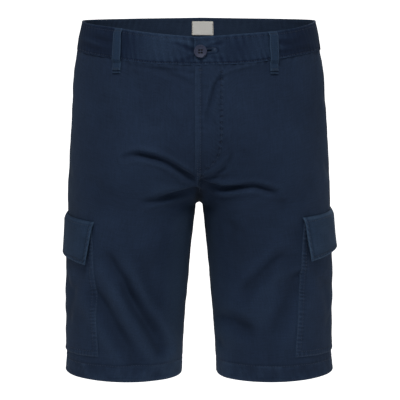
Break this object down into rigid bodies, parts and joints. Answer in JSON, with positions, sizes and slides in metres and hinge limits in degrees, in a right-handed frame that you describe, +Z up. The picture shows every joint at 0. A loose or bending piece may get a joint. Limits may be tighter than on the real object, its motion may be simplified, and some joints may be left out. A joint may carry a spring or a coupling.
{
  "type": "cargo shorts",
  "caption": "Knee-length cargo shorts filled out as when worn, with a button waistband, belt loops, a fly and a flapped pocket on each thigh.",
  "frame": {"origin": "middle of the waist opening, level with the top of the waistband at the side seams", "axes": "+Z up, -Y towards the front, +X towards the wearer's left"},
  "size_m": [0.3796, 0.2608, 0.4994],
  "materials": {
    "twill": "matt navy cotton twill, garment washed",
    "button": "satin grey-violet plastic",
    "label": "plain woven tape"
  },
  "bodies": {
    "root": {"front_left": "twill", "front_right": "twill", "back_left": "twill", "back_right": "twill", "waistband_left": "twill", "waistband_right": "twill", "fly": "twill", "cargo_pocket_left": "twill", "cargo_pocket_right": "twill", "pocket_flap_left": "twill", "pocket_flap_right": "twill", "belt_loop_front_left": "twill", "belt_loop_front_right": "twill", "belt_loop_back_left": "twill", "belt_loop_back_right": "twill", "belt_loop_back_centre": "twill", "button": "button", "label": "label"}
  },
  "joints": []
}
